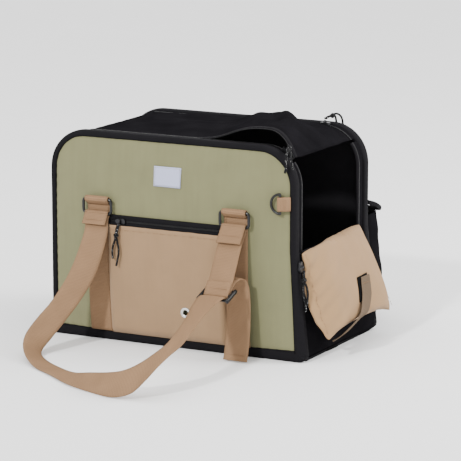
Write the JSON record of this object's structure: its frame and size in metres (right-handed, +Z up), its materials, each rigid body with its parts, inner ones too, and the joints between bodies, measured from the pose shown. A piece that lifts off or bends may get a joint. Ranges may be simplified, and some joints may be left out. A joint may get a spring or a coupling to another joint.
{
  "type": "pet carrier bag",
  "caption": "Soft-sided pet carrier with padded front and back panels, zipped pocket, opening top, padded fold-down end door and adjustable webbing handles.",
  "frame": {"origin": "centre of the bag's underside, on the surface that it stands on", "axes": "+Z up; -Y out of the panel with the pocket; +X out of the end with the fold-down door"},
  "size_m": [0.4639, 0.7241, 0.3222],
  "materials": {
    "green_fabric": "matte, fine woven",
    "beige_fabric": "matte, fine woven",
    "beige_webbing": "ribbed webbing",
    "black_fabric": "matte woven",
    "black_binding": "ribbed grosgrain tape",
    "black_metal": "gloss black",
    "black_plastic": "satin",
    "zip_metal": "satin black",
    "zip_tape": "woven with coil",
    "flecked_cord": "braided, white flecks",
    "eyelet_metal": "polished",
    "label_white": "smooth satin",
    "board": "matte",
    "mat_fabric": "plush",
    "mesh": "open mesh",
    "hook_tape": "hook and loop"
  },
  "bodies": {
    "bag": {"base_panel": "black_fabric", "base_board": "board", "floor_mat": "mat_fabric", "front_panel": "green_fabric", "front_binding": "black_binding", "back_panel": "green_fabric", "back_binding": "black_binding", "left_end_wall": "black_fabric", "left_end_mesh": "mesh", "right_end_wall": "black_fabric", "end_opening_posts": "black_fabric", "top_rear_panel": "black_fabric", "top_front_strip": "black_fabric", "top_zip_tape": "zip_tape", "top_rear_strip": "black_fabric", "top_rear_zip_tape": "zip_tape", "front_pocket": "beige_fabric", "pocket_zip_tape": "zip_tape", "pocket_eyelet": "eyelet_metal", "blank_label": "label_white", "front_webbing_left": "beige_webbing", "front_webbing_right": "beige_webbing", "back_webbing_left": "beige_webbing", "back_webbing_right": "beige_webbing", "d_ring_tab": "beige_webbing", "bottle_pocket": "black_fabric", "bottle_pocket_rim": "black_binding", "wall_loop_patch": "hook_tape"},
    "top_cover": {"top_flap": "black_fabric", "top_flap_binding": "black_binding"},
    "hanging_d_ring": {"d_ring": "black_metal"},
    "pocket_slider": {"pocket_zip_slider": "zip_metal", "pocket_zip_cord": "flecked_cord"},
    "top_slider": {"top_zip_slider": "zip_metal", "top_zip_cord": "flecked_cord"},
    "end_slider": {"end_zip_slider": "zip_metal", "end_zip_cord": "flecked_cord"},
    "rear_slider": {"rear_zip_slider": "zip_metal", "rear_zip_cord": "flecked_cord"},
    "end_door": {"door_pillow": "beige_fabric", "door_backing": "black_fabric", "pillow_strap": "beige_webbing", "pillow_hook_patch": "hook_tape"},
    "front_handle": {"front_rings": "black_metal", "front_handle_strap": "beige_webbing", "front_ladder_strap": "beige_webbing", "front_adjuster": "black_plastic"},
    "back_handle": {"back_rings": "black_metal", "back_handle_strap": "beige_webbing", "back_ladder_strap": "beige_webbing", "back_adjuster": "black_plastic"}
  },
  "joints": [
    {"name": "top_cover_hinge", "type": "hinge", "parent": "bag", "child": "top_cover", "pos_m": [0, 0.025, 0.305], "axis": [-1, 0, 0], "range_deg": [0, 110]},
    {"name": "d_ring_swing", "type": "hinge", "parent": "bag", "child": "hanging_d_ring", "pos_m": [0.18, -0.131, 0.228], "axis": [0, 0, 1], "range_deg": [0, 120]},
    {"name": "pocket_zip_slide", "type": "slide", "parent": "bag", "child": "pocket_slider", "axis": [1, 0, 0], "range_m": [0, 0.148]},
    {"name": "top_zip_turn", "type": "hinge", "parent": "bag", "child": "top_slider", "pos_m": [0.142, -0.0967, 0.25], "axis": [0, 1, 0], "range_deg": [-31, 14]},
    {"name": "end_zip_slide", "type": "slide", "parent": "bag", "child": "end_slider", "axis": [0, 0, 1], "range_m": [0, 0.1]},
    {"name": "rear_zip_slide", "type": "slide", "parent": "bag", "child": "rear_slider", "axis": [-1, 0, 0], "range_m": [0, 0.27]},
    {"name": "end_door_hinge", "type": "hinge", "parent": "bag", "child": "end_door", "pos_m": [0.2006, 0, 0.158], "axis": [0, -1, 0], "range_deg": [0, 155]},
    {"name": "front_handle_swing", "type": "hinge", "parent": "bag", "child": "front_handle", "pos_m": [0, -0.13904, 0.212], "axis": [-1, 0, 0], "range_deg": [0, 130]},
    {"name": "back_handle_swing", "type": "hinge", "parent": "bag", "child": "back_handle", "pos_m": [0, 0.13904, 0.212], "axis": [1, 0, 0], "range_deg": [0, 130]}
  ]
}
